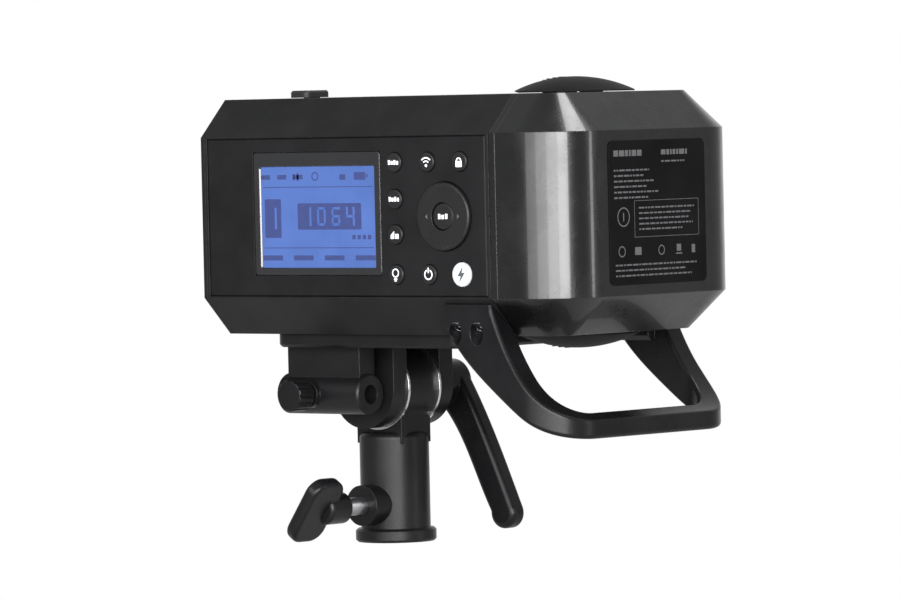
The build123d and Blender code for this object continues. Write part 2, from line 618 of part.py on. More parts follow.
def socket_knob():
    neck = cyl_x(7.0, 37, 50, 0, KNOB_Z) - cyl_x(4.0, 36, 46.2, 0, KNOB_Z)
    neck = fillet(neck.faces().sort_by(Axis.X)[-1].edges(), 2)
    wing = make_face(Plane.XZ * Pos(54, 0) * RectangleRounded(20, 32, 7))
    wing = Pos(0, 3.2, KNOB_Z) * extrude(wing, 6.4)
    wing = fillet(wing.edges().filter_by(lambda e: abs(abs(e.center().Y) - 3.2) < 0.1), 2)
    knob = neck + wing - cyl_x(4.0, 36, 46.2, 0, KNOB_Z)
    return Pos(0, 0, KNOB_Z) * Rot(KNOB_ANGLE, 0, 0) * Pos(0, 0, -KNOB_Z) * knob


def umbrella_pad():
    return cyl_x(2.4, UMBRELLA_X + UMBRELLA_R + 0.1, UMBRELLA_X + 6, UMBRELLA_KNOB_Y, UMBRELLA_Z)


def umbrella_knob():
    knob = cyl_x(7.0, UMBRELLA_X + 13.5, UMBRELLA_X + 23, UMBRELLA_KNOB_Y, UMBRELLA_Z)
    knob = fillet(knob.edges(), 0.8)
    for k in range(12):
        groove = Pos(0, 7.4, 0) * cyl_x(1.0, 0, 30, 0, 0)
        knob -= Pos(UMBRELLA_X + 8, UMBRELLA_KNOB_Y, UMBRELLA_Z) * Rot(30 * k, 0, 0) * groove
    return knob + cyl_x(2.5, UMBRELLA_X + 6.05, UMBRELLA_X + 14, UMBRELLA_KNOB_Y, UMBRELLA_Z)


# ---- assemble ---------------------------------------------------------------------------------
def build():
    parts["upper_shell"] = head_shell(True)
    parts["lower_shell"] = head_shell(False)
    parts["control_panel"] = control_panel()
    parts["display_window"] = display_window()
    w, h = DISPLAY_W / 2, DISPLAY_H / 2
    parts["lcd_panel"] = box(
        SIDE_X - 5.5, SIDE_X - 2.2, DISPLAY_Y - w - 2, DISPLAY_Y + w + 2, AXIS_Z - h - 2, AXIS_Z + h + 2
    )
    for name, (column, row, r) in BUTTONS.items():
        parts[name] = key(r, BUTTON_COLUMNS[column], AXIS_Z + BUTTON_ROWS[row])
    dial = cyl_x(DIAL_R, SIDE_X - 3.4, SIDE_X + 1.8, DIAL_Y, AXIS_Z)
    dial = fillet(dial.faces().sort_by(Axis.X)[-1].edges(), 1.0)
    dial -= cyl_x(SET_R + 0.25, SIDE_X - 5, SIDE_X + 3, DIAL_Y, AXIS_Z)
    parts["control_dial"] = dial
    set_button = cyl_x(SET_R, SIDE_X - 3.4, SIDE_X + 1.4, DIAL_Y, AXIS_Z)
    parts["set_button"] = fillet(set_button.faces().sort_by(Axis.X)[-1].edges(), 0.8)
    parts["control_board"] = box(SIDE_X - 8, SIDE_X - 6.4, -26, 103, AXIS_Z - 31, AXIS_Z + 31)
    parts["vent_panel"] = vent_panel()
    parts["port_block"] = port_block()
    parts["port_cover"] = port_cover()
    parts["front_plate"] = front_plate()
    parts["casing_screws"] = casing_screws()
    parts["mount_ring"] = mount_ring()
    parts["mount_release"] = mount_release()
    parts["mount_lock_pin"] = cyl_y(PIN_R, 0, RING_FRONT_Y - 0.8, -42, PIN_Z)
    parts["reflector_dish"] = reflector_dish()
    parts["glass_dome"] = glass_dome()
    parts["flash_tube"] = flash_tube()
    parts["tube_socket"] = tube_socket()
    parts["modelling_led"] = modelling_led()
    parts["flash_capacitors"] = capacitors()
    parts["power_board"] = box(-40, 42, -28, 96, BOARD_Z, BOARD_Z + 1.6)
    parts["inverter_transformer"] = transformer()
    parts["fan_frame"] = fan_frame()
    parts["fan_rotor"] = fan_rotor()
    parts["rear_bulkhead"] = rear_bulkhead()
    parts["terminal_block"] = terminal_block()
    parts["terminal_blades"] = terminal_blades()
    parts["battery_cover"] = battery_cover()
    parts["battery_case"] = battery_case()
    parts["battery_cells"] = battery_cells()
    parts["gauge_button"] = cyl_x(3.0, -SIDE_X - 0.6, -SIDE_X + 3.5, GAUGE_Y, AXIS_Z + 12)
    parts["gauge_lights"] = gauge_lights()
    parts["rating_label"] = rating_label()
    top_cap = latch_cap()
    parts["top_latch"] = top_cap
    parts["bottom_latch"] = mirrored_low(top_cap)
    parts["latch_pins"] = latch_pins()
    parts["handle"] = handle()
    parts["saddle"] = saddle()
    parts["umbrella_holder"] = umbrella_holder()
    parts["bracket_screws"] = bracket_screws()
    parts["stand_block"] = stand_block()
    parts["tilt_washers"] = tilt_washers()
    parts["tilt_bolt"] = tilt_bolt()
    parts["lever_insert"] = lever_insert()
    parts["tilt_lever"] = tilt_lever()
    parts["socket_pad"] = socket_pad()
    parts["socket_screw"] = socket_screw()
    parts["socket_knob"] = socket_knob()
    parts["umbrella_pad"] = umbrella_pad()
    parts["umbrella_knob"] = umbrella_knob()


build()
os.makedirs("parts", exist_ok=True)
for name, shape in parts.items():
    export_step(shape, f"parts/{name}.step")
print(len(parts), "nodes written")
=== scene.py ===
"""Looks of the battery monolight strobe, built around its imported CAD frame. Metres, +Z up."""
import json
import math

import bmesh
import bpy
from mathutils import Matrix, Vector


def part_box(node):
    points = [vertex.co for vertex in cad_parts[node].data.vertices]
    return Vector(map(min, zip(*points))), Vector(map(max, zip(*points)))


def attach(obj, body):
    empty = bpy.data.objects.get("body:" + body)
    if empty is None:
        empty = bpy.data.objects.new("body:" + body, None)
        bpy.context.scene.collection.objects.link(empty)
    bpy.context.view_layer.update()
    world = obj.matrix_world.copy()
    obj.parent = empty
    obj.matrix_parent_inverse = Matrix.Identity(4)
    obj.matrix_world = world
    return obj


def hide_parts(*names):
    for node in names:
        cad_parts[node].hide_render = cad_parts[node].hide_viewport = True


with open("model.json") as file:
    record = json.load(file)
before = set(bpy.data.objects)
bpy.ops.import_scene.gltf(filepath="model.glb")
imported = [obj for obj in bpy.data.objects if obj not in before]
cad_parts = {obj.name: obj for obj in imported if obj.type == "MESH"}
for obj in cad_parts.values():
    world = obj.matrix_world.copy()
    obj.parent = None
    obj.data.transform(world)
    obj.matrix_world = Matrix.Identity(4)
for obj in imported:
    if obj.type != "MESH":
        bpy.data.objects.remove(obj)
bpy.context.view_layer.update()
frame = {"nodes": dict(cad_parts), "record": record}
nodes = frame["nodes"]
MM = 0.001


# ---- node-tree helpers ------------------------------------------------------------------
class Tree:
    """A new material's node tree, with short calls for the nodes that the finishes share."""

    def __init__(self, name):
        self.material = bpy.data.materials.new(name)
        self.material.use_nodes = True
        self.tree = self.material.node_tree
        self.shader = self.tree.nodes["Principled BSDF"]
        self.place = self.tree.nodes.new("ShaderNodeTexCoord").outputs["Object"]

    def link(self, output, socket):
        self.tree.links.new(output, socket)

    def set(self, **values):
        for key, value in values.items():
            self.shader.inputs[key.replace("_", " ")].default_value = value

    def node(self, kind, **inputs):
        made = self.tree.nodes.new("ShaderNode" + kind)
        for key, value in inputs.items():
            socket = made.inputs[key.replace("_", " ")]
            if isinstance(value, bpy.types.NodeSocket):
                self.link(value, socket)
            else:
                socket.default_value = value
        return made

    def stretched(self, scale):
        return self.node("Mapping", Vector=self.place, Scale=scale).outputs["Vector"]

    def noise(self, scale, detail=4.0, rough=0.55, stretch=None):
        where = self.stretched(stretch) if stretch else self.place
        made = self.node("TexNoise", Vector=where, Scale=scale, Detail=detail, Roughness=rough)
        return made.outputs["Fac"]

    def base(self, colour):
        self.link(colour, self.shader.inputs["Base Color"])

    def roughness(self, fac, lowest, highest):
        spread = self.node("MapRange", Value=fac, To_Min=lowest, To_Max=highest)
        self.link(spread.outputs["Result"], self.shader.inputs["Roughness"])

    def cells(self, scale):
        return self.node("TexVoronoi", Vector=self.place, Scale=scale).outputs["Distance"]

    def ramp(self, fac, stops):
        made = self.node("ValToRGB", Fac=fac)
        ramp = made.color_ramp
        while len(ramp.elements) < len(stops):
            ramp.elements.new(0.5)
        for element, (at, colour) in zip(ramp.elements, stops):
            element.position = at
            element.color = (*colour, 1) if isinstance(colour, tuple) else (colour, colour, colour, 1)
        return made.outputs["Color"]

    def math(self, operation, first, second):
        made = self.tree.nodes.new("ShaderNodeMath")
        made.operation = operation
        for socket, value in zip(made.inputs, (first, second)):
            if isinstance(value, bpy.types.NodeSocket):
                self.link(value, socket)
            else:
                socket.default_value = value
        return made.outputs[0]

    def colour_mix(self, fac, first, second):
        made = self.tree.nodes.new("ShaderNodeMix")
        made.data_type = "RGBA"
        sockets = [made.inputs[0], made.inputs[6], made.inputs[7]]
        for socket, value in zip(sockets, (fac, first, second)):
            if isinstance(value, bpy.types.NodeSocket):
                self.link(value, socket)
            elif isinstance(value, tuple):
                socket.default_value = (*value, 1)
            else:
                socket.default_value = value
        return made.outputs[2]

    def rounded(self, radius):
        made = self.node("Bevel", Radius=radius)
        made.samples = 4
        return made.outputs["Normal"]

    def edges(self, radius):
        """1 on sharp edges and 0 on flat faces, from how far a rounded normal leans."""
        flat = self.tree.nodes.new("ShaderNodeNewGeometry").outputs["Normal"]
        made = self.tree.nodes.new("ShaderNodeVectorMath")
        made.operation = "DOT_PRODUCT"
        self.link(self.rounded(radius), made.inputs[0])
        self.link(flat, made.inputs[1])
        return self.ramp(made.outputs["Value"], [(0.80, 1.0), (0.985, 0.0)])

    def bump(self, height, strength, distance, radius=0.0):
        made = self.node("Bump", Strength=strength, Distance=distance, Height=height)
        if radius:
            self.link(self.rounded(radius), made.inputs["Normal"])
        self.link(made.outputs["Normal"], self.shader.inputs["Normal"])


def tint(base, factor, lift=0.0):
    return tuple(c * factor + lift for c in base)


def moulded(name, base, rough, grain=2600.0, depth=0.25, wear=0.35, radius=0.0006, specular=0.5, dust=0.25):
    """Plastic or painted metal: cloudy colour, worn lighter edges, a fine grain and handled gloss."""
    t = Tree(name)
    colour = t.ramp(t.noise(38.0, 6.0, 0.6), [(0.3, tint(base, 0.78)), (0.7, tint(base, 1.25, 0.002))])
    specks = t.ramp(t.noise(900.0, 3.0, 0.7), [(0.66, 0.0), (0.78, 1.0)])
    colour = t.colour_mix(t.math("MULTIPLY", specks, dust), colour, tint(base, 1.6, 0.02))
    chips = t.ramp(t.noise(260.0, 5.0, 0.7), [(0.47, 0.0), (0.62, 1.0)])
    worn = t.math("MULTIPLY", t.math("MULTIPLY", t.edges(radius), chips), wear)
    t.base(t.colour_mix(worn, colour, tint(base, 2.4, 0.05)))
    spread = 0.12
    t.roughness(t.noise(16.0, 7.0, 0.65), rough - spread, rough + spread)
    t.set(Specular_IOR_Level=specular)
    t.bump(t.noise(grain, 2.0, 0.5), depth, 0.0002, radius)
    return t.material


def glossy(name, base, rough, coat, specular=0.5):
    """Polished moulding with faint orange peel, hairline scratches and fingerprints."""
    t = Tree(name)
    t.base(t.ramp(t.noise(24.0, 5.0), [(0.3, tint(base, 0.8)), (0.7, tint(base, 1.3))]))
    prints = t.ramp(t.noise(30.0, 8.0, 0.7), [(0.45, rough), (0.68, rough + 0.16)])
    hair = t.ramp(t.noise(70.0, 3.0, 0.6, stretch=(1.0, 9.0, 0.6)), [(0.63, 0.0), (0.7, 0.09)])
    t.link(t.math("ADD", prints, hair), t.shader.inputs["Roughness"])
    t.set(Coat_Weight=coat, Coat_Roughness=0.06, Specular_IOR_Level=specular)
    t.bump(t.noise(420.0, 2.0), 0.05, 0.0002, 0.0008)
    return t.material


def turned(name, base, rough, stretch, wear=0.3):
    """Machined metal with fine tool lines along one direction and dull patches."""
    t = Tree(name)
    lines = t.noise(900.0, 3.0, 0.6, stretch=stretch)
    patch = t.noise(60.0, 6.0, 0.6)
    level = t.math("ADD", t.math("MULTIPLY", lines, 0.45), t.math("MULTIPLY", patch, 0.55))
    colour = t.ramp(level, [(0.35, tint(base, 0.62)), (0.62, base)])
    edge = t.math("MULTIPLY", t.edges(0.0004), wear)
    t.base(t.colour_mix(edge, colour, (0.9, 0.9, 0.9)))
    t.roughness(patch, rough - 0.08, rough + 0.14)
    t.set(Metallic=1.0, Anisotropic=0.4)
    t.bump(lines, 0.16, 0.0001, 0.0003)
    return t.material


def clear(name, base):
    """Smooth glass with faint smudges and a slight ripple."""
    t = Tree(name)
    t.link(t.ramp(t.noise(55.0, 6.0, 0.6), [(0.5, 0.02), (0.75, 0.09)]), t.shader.inputs["Roughness"])
    lighter = tuple(min(1.0, c) for c in tint(base, 1.04))
    t.base(t.ramp(t.noise(20.0, 3.0), [(0.3, base), (0.7, lighter)]))
    t.set(Transmission_Weight=1.0, IOR=1.47)
    t.bump(t.noise(90.0, 2.0), 0.03, 0.0003)
    return t.material


def printed(name, ink, glow=0.0):
    """Screen print with slightly uneven ink."""
    t = Tree(name)
    patchy = t.noise(1400.0, 4.0, 0.6)
    colour = t.ramp(patchy, [(0.3, tint(ink, 0.72)), (0.55, ink)])
    t.base(colour)
    t.roughness(patchy, 0.38, 0.62)
    # emission: the display's backlight through its dark segments, and a painted glow that brightens the
    # white key print
    if glow:
        t.link(colour, t.shader.inputs["Emission Color"])
        t.set(Emission_Strength=glow)
    t.bump(patchy, 0.1, 0.00005)
    return t.material


def lcd_glow(name, dim, bright):
    """A backlit display: a pixel grid over an uneven backlight."""
    t = Tree(name)
    columns = t.node("TexWave", Vector=t.stretched((0.0, 1.0, 0.0)), Scale=620.0, Distortion=0.0)
    columns.bands_direction = "Y"
    rows = t.node("TexWave", Vector=t.stretched((0.0, 0.0, 1.0)), Scale=620.0, Distortion=0.0)
    rows.bands_direction = "Z"
    grid = t.math("MULTIPLY", columns.outputs["Fac"], rows.outputs["Fac"])
    level = t.math("ADD", t.math("MULTIPLY", grid, 0.12), t.noise(26.0, 3.0))
    colour = t.ramp(level, [(0.3, dim), (0.75, bright)])
    t.base(t.colour_mix(0.85, colour, (0.004, 0.006, 0.012)))
    t.link(colour, t.shader.inputs["Emission Color"])
    t.set(Emission_Strength=1.0, Coat_Weight=0.5, Coat_Roughness=0.05, Roughness=0.35)
    t.bump(grid, 0.04, 0.00005)
    return t.material


def board(name):
    """Green circuit board with plated dots."""
    t = Tree(name)
    tracks = t.cells(210.0)
    gold, dark_green, green = (0.5, 0.42, 0.16), (0.01, 0.12, 0.05), (0.015, 0.2, 0.08)
    t.base(t.ramp(tracks, [(0.12, gold), (0.2, dark_green), (0.6, green)]))
    t.roughness(t.noise(120.0), 0.25, 0.5)
    t.bump(tracks, 0.3, 0.0002)
    return t.material


def phosphor(name):
    """The modelling lamp's yellow coating, in dots."""
    t = Tree(name)
    dots = t.cells(480.0)
    t.base(t.ramp(dots, [(0.2, (0.95, 0.72, 0.08)), (0.7, (0.9, 0.85, 0.5))]))
    t.roughness(t.noise(200.0), 0.2, 0.4)
    t.set(Coat_Weight=0.7, Coat_Roughness=0.05)
    t.bump(dots, 0.3, 0.0002)
    return t.material


def ceramic(name):
    """Pale speckled ceramic."""
    t = Tree(name)
    speckle = t.noise(700.0, 5.0, 0.6)
    t.base(t.ramp(speckle, [(0.35, (0.72, 0.69, 0.63)), (0.6, (0.86, 0.84, 0.79))]))
    t.roughness(speckle, 0.45, 0.7)
    t.bump(speckle, 0.2, 0.0002, 0.0004)
    return t.material


MOULDED = {
    "casing_black": dict(
        base=(0.0055, 0.0055, 0.006), rough=0.46, grain=3000.0, wear=0.25, specular=0.16, dust=0.04),
    "panel_black": dict(
        base=(0.0045, 0.0045, 0.005), rough=0.5, grain=4200.0, depth=0.2, wear=0.15,
        specular=0.14, dust=0.04),
    "latch_black": dict(
        base=(0.004, 0.004, 0.0045), rough=0.55, grain=2400.0, depth=0.12, wear=0.15,
        specular=0.06, dust=0.03),
    "cast_black": dict(
        base=(0.004, 0.004, 0.0045), rough=0.36, grain=1500.0, wear=0.4, specular=0.2, dust=0.04),
    "handle_black": dict(
        base=(0.004, 0.004, 0.0045), rough=0.28, grain=2200.0, depth=0.14, wear=0.3, radius=0.0007,
        specular=0.2, dust=0.04),
    "key_black": dict(
        base=(0.005, 0.005, 0.0055), rough=0.42, grain=3600.0, depth=0.15, wear=0.2, radius=0.0004,
        specular=0.3, dust=0.05),
    "key_grey": dict(
        base=(0.40, 0.42, 0.43), rough=0.42, grain=3600.0, depth=0.1, wear=0.2, radius=0.0004, dust=0.1),
    "dial_black": dict(
        base=(0.005, 0.005, 0.0055), rough=0.4, depth=0.2, wear=0.3, specular=0.3, dust=0.05),
    "label_black": dict(
        base=(0.0018, 0.0018, 0.002), rough=0.4, grain=1800.0, depth=0.04, wear=0.05, radius=0.0002,
        specular=0.08, dust=0.0),
    "rubber_black": dict(base=(0.012, 0.012, 0.012), rough=0.72, grain=1800.0, depth=0.35, wear=0.15),
    "release_grey": dict(
        base=(0.012, 0.012, 0.013), rough=0.45, grain=2400.0, depth=0.2, wear=0.3, specular=0.3, dust=0.05),
    "fan_black": dict(base=(0.02, 0.02, 0.021), rough=0.48, grain=2000.0, depth=0.1),
    "inner_plastic": dict(base=(0.035, 0.035, 0.036), rough=0.55, grain=2000.0, depth=0.15),
}
GLOSSY = {
    "battery_gloss": dict(base=(0.0018, 0.0018, 0.002), rough=0.24, coat=0.35, specular=0.4),
    "capacitor_sleeve": dict(base=(0.03, 0.05, 0.16), rough=0.3, coat=0.3),
    "cell_wrap": dict(base=(0.05, 0.3, 0.26), rough=0.25, coat=0.3),
    "gauge_lens": dict(base=(0.35, 0.42, 0.36), rough=0.25, coat=0.5),
}
TURNED = {
    "screw_black": dict(base=(0.10, 0.10, 0.11), rough=0.4, stretch=(1.0, 1.0, 0.2), wear=0.5),
    "steel": dict(base=(0.58, 0.58, 0.60), rough=0.28, stretch=(6.0, 1.0, 1.0)),
    "washer_steel": dict(base=(0.80, 0.80, 0.82), rough=0.16, stretch=(1.0, 1.0, 1.0), wear=0.4),
    "brass": dict(base=(0.72, 0.50, 0.20), rough=0.3, stretch=(6.0, 1.0, 1.0)),
    "ring_metal": dict(base=(0.62, 0.62, 0.63), rough=0.32, stretch=(1.0, 9.0, 1.0), wear=0.5),
    "reflector_polish": dict(base=(0.86, 0.86, 0.88), rough=0.14, stretch=(1.0, 7.0, 1.0), wear=0.2),
    "winding_copper": dict(base=(0.45, 0.2, 0.09), rough=0.35, stretch=(1.0, 1.0, 8.0)),
}
MATERIALS = {
    "clear_glass": clear("clear_glass", (0.93, 0.96, 0.97)),
    "ceramic_white": ceramic("ceramic_white"),
    "led_yellow": phosphor("led_yellow"),
    "board_green": board("board_green"),
}
for finish, table in ((moulded, MOULDED), (glossy, GLOSSY), (turned, TURNED)):
    MATERIALS.update({name: finish(name, **values) for name, values in table.items()})
LABEL_INK = printed("label_print", (0.07, 0.07, 0.074))
# white key print with a faint painted glow: its emission makes the print look brighter than its lighting
KEY_INK_PAINTED_GLOW = printed("key_print_painted_glow", (0.8, 0.82, 0.84), 0.12)
DARK_INK = printed("dark_print", (0.05, 0.06, 0.07))
LCD = lcd_glow("lcd_backlight", (0.05, 0.115, 0.38), (0.08, 0.165, 0.52))
LCD_DARK = printed("lcd_segments", (0.018, 0.03, 0.12), 0.15)
WINDOW_BLACK = glossy("window_black", (0.006, 0.006, 0.007), 0.08, 0.9)

SLOT_OF = {entry["node"]: entry["material_slot"] for entry in frame["record"]["subparts"]}
for node, thing in nodes.items():
    thing.data.materials.clear()
    thing.data.materials.append(MATERIALS.get(SLOT_OF[node], WINDOW_BLACK))


# ---- mesh helpers ------------------------------------------------------------------------
def add_piece(name, data, material, body):
    """Puts a new mesh or curve into the scene, riding its body under its material slot."""
    piece = bpy.data.objects.new(name, data)
    bpy.context.scene.collection.objects.link(piece)
    piece.data.materials.append(material)
    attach(piece, body)
    return piece


def from_bmesh(name, bm, material, body):
    mesh = bpy.data.meshes.new(name)
    bmesh.ops.recalc_face_normals(bm, faces=bm.faces)
    bm.to_mesh(mesh)
    bm.free()
    return add_piece(name, mesh, material, body)


def join_loops(bm, loops):
    """Quads between each loop of vertices and the next."""
    for one, two in zip(loops, loops[1:]):
        count = len(one)
        for i in range(count):
            j = (i + 1) % count
            bm.faces.new((one[i], one[j], two[j], two[i]))


def prism(bm, outline, thickness, place):
    """Adds a closed plate with the outline in its XY plane and its top at +thickness."""
    bottom = [bm.verts.new(place @ Vector((x, y, 0.0))) for x, y in outline]
    top = [bm.verts.new(place @ Vector((x, y, thickness))) for x, y in outline]
    bm.faces.new(top)
    bm.faces.new(reversed(bottom))
    join_loops(bm, [bottom, top])


def rect(x, y, w, h, r=0.0, steps=3):
    """A rounded rectangle's outline, centred at (x, y)."""
    if r <= 0:
        corners = ((-1, -1), (1, -1), (1, 1), (-1, 1))
        return [(x + cx * w / 2, y + cy * h / 2) for cx, cy in corners]
    points = []
    for cx, cy, start in ((1, -1, -90), (1, 1, 0), (-1, 1, 90), (-1, -1, 180)):
        corner_x, corner_y = x + cx * (w / 2 - r), y + cy * (h / 2 - r)
        for k in range(steps + 1):
            a = math.radians(start + 90 * k / steps)
            points.append((corner_x + r * math.cos(a), corner_y + r * math.sin(a)))
    return points


def disc(x, y, r, steps=20):
    turns = [math.radians(360 * k / steps) for k in range(steps)]
    return [(x + r * math.cos(a), y + r * math.sin(a)) for a in turns]


def band(x, y, r, width, start=0.0, sweep=360.0, steps=20):
    """An arc or ring as a row of quads."""
    quads = []
    for k in range(steps):
        a, b = (math.radians(start + sweep * (k + i) / steps) for i in (0, 1))
        corners = ((r - width, a), (r, a), (r, b), (r - width, b))
        quads.append([(x + reach * math.cos(turn), y + reach * math.sin(turn)) for reach, turn in corners])
    return quads


PRINT_T = 0.06 * MM
THIN_PRINT_T = 0.03 * MM
PRINT_LIFT = 0.01 * MM


def marks(name, outlines, place, material, body, thickness=PRINT_T):
    """A set of thin printed shapes as one piece."""
    bm = bmesh.new()
    for outline in outlines:
        prism(bm, outline, thickness, place)
    return from_bmesh(name, bm, material, body)


def side_place(x, y, z):
    """On the +X side: local x runs along +Y, local y along +Z, local z out along +X."""
    return Matrix(((0, 0, 1, x), (1, 0, 0, y), (0, 1, 0, z), (0, 0, 0, 1)))


def far_side_place(x, y, z):
    """On the -X side: local x runs along -Y, local y along +Z, local z out along -X."""
    return Matrix(((0, 0, -1, x), (-1, 0, 0, y), (0, 1, 0, z), (0, 0, 0, 1)))


def rear_place(x, y, z):
    """On the rear: local x runs along -X, local y along +Z, local z out along +Y."""
    return Matrix(((-1, 0, 0, x), (0, 0, 1, y), (0, 1, 0, z), (0, 0, 0, 1)))


def top_place(x, y, z):
    """On top: local x runs along +Y, local y along -X, local z up."""
    return Matrix(((0, -1, 0, x), (1, 0, 0, y), (0, 0, 1, z), (0, 0, 0, 1)))


def centre(node):
    least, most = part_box(node)
    return (Vector(least) + Vector(most)) / 2


def high(node):
    return Vector(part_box(node)[1])


def low(node):
    return Vector(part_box(node)[0])


# ---- key symbols, in millimetres about each key's centre -----------------------------------
def scaled(outlines, factor=MM):
    return [[(x * factor, y * factor) for x, y in outline] for outline in outlines]


def letters_row(count, w=0.85, gap=0.35, h=1.5):
    """A word-like row of small blocks, with no letters in it."""
    start = -(count * w + (count - 1) * gap) / 2
    row = []
    for i in range(count):
        x = start + i * (w + gap) + w / 2
        row.append(rect(x, 0, w, h) if i % 2 == 0 else rect(x, -0.1 * h, w, h * 0.8))
    return row


SYMBOLS = {
    "group_button": letters_row(4),
    "wireless_button": (
        [disc(0, -1.2, 0.5)] + band(0, -1.2, 1.7, 0.45, 45, 90, 8) + band(0, -1.2, 2.8, 0.45, 45, 90, 10)
    ),
    "lock_button": [rect(0, -0.8, 2.7, 2.0, 0.2)] + band(0, 0.2, 1.15, 0.42, 0, 180, 10),
    "menu_button": letters_row(4),
    "mode_button": [[(-1.7, -1.4), (-0.2, -1.4), (-0.2, 1.2), (-1.7, -0.2)], rect(1.0, -0.6, 1.4, 1.6)],
    "lamp_button": band(0, 0.5, 1.5, 0.42) + [rect(0, -1.5, 1.4, 0.4), rect(0, -2.1, 1.0, 0.35)],
    "power_button": band(0, 0, 1.8, 0.45, 115, 310, 18) + [rect(0, 1.4, 0.45, 1.8)],
    "test_button": [[(0.7, 2.6), (-1.5, -0.5), (-0.2, -0.5), (-0.8, -2.6), (1.5, 0.6), (0.2, 0.6)]],
    "set_button": letters_row(3, 1.0, 0.5, 1.7),
}
SYMBOL_SCALE = 1.3 * MM


def key_symbols():
    for node, outlines in SYMBOLS.items():
        at = centre(node)
        place = side_place(high(node).x + PRINT_LIFT, at.y, at.z)
        # the white symbols carry a painted glow; the test key's dark print does not
        ink = DARK_INK if node == "test_button" else KEY_INK_PAINTED_GLOW
        marks(f"{node}_symbol", scaled(outlines, SYMBOL_SCALE), place, ink, node)


RIB_COUNT = 36
RIB_INNER_R, RIB_OUTER_R, RIB_HALF_W = 12.6, 14.0, 0.22
RIB_SINK, RIB_T = 0.1 * MM, 0.13 * MM


def dial_details():
    """Short ribs round the dial's rim and two small arrows beside its middle button."""
    at = centre("control_dial")
    face = high("control_dial").x
    rib = ((RIB_INNER_R, -1), (RIB_INNER_R, 1), (RIB_OUTER_R, 1), (RIB_OUTER_R, -1))
    ribs = []
    for k in range(RIB_COUNT):
        a = math.radians(360 / RIB_COUNT * k)
        c, s = math.cos(a), math.sin(a)
        ribs.append([
            (reach * c + side * RIB_HALF_W * s, reach * s - side * RIB_HALF_W * c) for reach, side in rib
        ])
    marks("dial_rim_ribs", scaled(ribs), side_place(face - RIB_SINK, at.y, at.z), MATERIALS["key_black"],
          "dial", RIB_T)
    arrows = [[(s * 9.6, 0.0), (s * 8.4, s * 1.1), (s * 8.4, -s * 1.1)] for s in (-1, 1)]
    marks("dial_arrows", scaled(arrows), side_place(face + PRINT_LIFT, at.y, at.z), LABEL_INK,
          "dial")


# ---- display ---------------------------------------------------------------------------------
SEGMENTS = {"0": "abcdef", "1": "bc", "4": "fgbc", "6": "afgedc"}


def seven_segment(digit, x, y, w, h, t):
    """A digit of straight strokes, t thick, in a box w wide and h high."""
    side, end = (w - t) / 2, (h - t) / 2
    places = {
        "a": (0, end, w, t), "g": (0, 0, w, t), "d": (0, -end, w, t),
        "f": (-side, h / 4, t, h / 2), "b": (side, h / 4, t, h / 2),
        "e": (-side, -h / 4, t, h / 2), "c": (side, -h / 4, t, h / 2),
    }
    strokes = (places[letter] for letter in SEGMENTS[digit])
    return [rect(x + dx, y + dy, stroke_w, stroke_h) for dx, dy, stroke_w, stroke_h in strokes]


# sizes in millimetres; the display sits a little below the middle of its border
DISPLAY_W, DISPLAY_H = 67.0, 45.0
DISPLAY_DROP = 1.5
BORDER_T = 1.7
BACKLIGHT_T = 0.9
BACKLIGHT_DEPTH = 1.6
SEGMENT_DEPTH = 0.69


def display_border(place, width, height):
    """A black plate with a sunk, bevelled opening, in place of the plain window."""
    outer = rect(0, DISPLAY_DROP, width, height, 1.5, 5)
    eased = [(x * 0.996, (y - DISPLAY_DROP) * 0.996 + DISPLAY_DROP) for x, y in outer]
    inner = rect(0, 0, DISPLAY_W, DISPLAY_H, 1.0, 5)
    lip = rect(0, 0, DISPLAY_W - 0.8, DISPLAY_H - 0.8, 0.8, 5)
    depths = ((outer, -BORDER_T), (outer, -0.15), (eased, 0.0), (inner, 0.0), (lip, -0.45), (lip, -BORDER_T))
    bm = bmesh.new()
    loops = [[bm.verts.new(place @ Vector((x * MM, y * MM, z * MM))) for x, y in loop] for loop, z in depths]
    join_loops(bm, loops)
    join_loops(bm, [loops[-1], loops[0]])
    window = from_bmesh("display_border", bm, WINDOW_BLACK, "head")
    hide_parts("display_window")


def status_marks():
    """The display's dark shapes: a row of small icons, two rules, the value's blocks and a lower row."""
    dark = [rect(-26.5, -0.5, 9.5, 17, 0.6), rect(6.5, 0.3, 37, 11.5, 0.6)]
    dark += [rect(-30.5 + 9.6 * i, 17.6, 5.2, 2.0) for i in range(3)]
    dark += band(-1.5, 17.8, 2.0, 0.6) + [rect(24.5, 17.8, 6.6, 3.4, 0.4), rect(28.6, 17.8, 0.8, 1.6)]
    dark += [rect(-14.0, 17.6, 1.2, 2.6), rect(-11.6, 17.6, 1.2, 3.4), rect(14.5, 17.4, 3.4, 2.4, 0.3)]
    dark += [rect(0, 13.2, 64, 0.35), rect(0, -13.4, 64, 0.35)]
    dark += [rect(-27 + 18 * i, -17.8, 11.5, 2.2, 0.3) for i in range(4)]
    dark += [rect(20.5 + 3.0 * i, -8.8, 1.9, 1.9) for i in range(4)]
    return dark


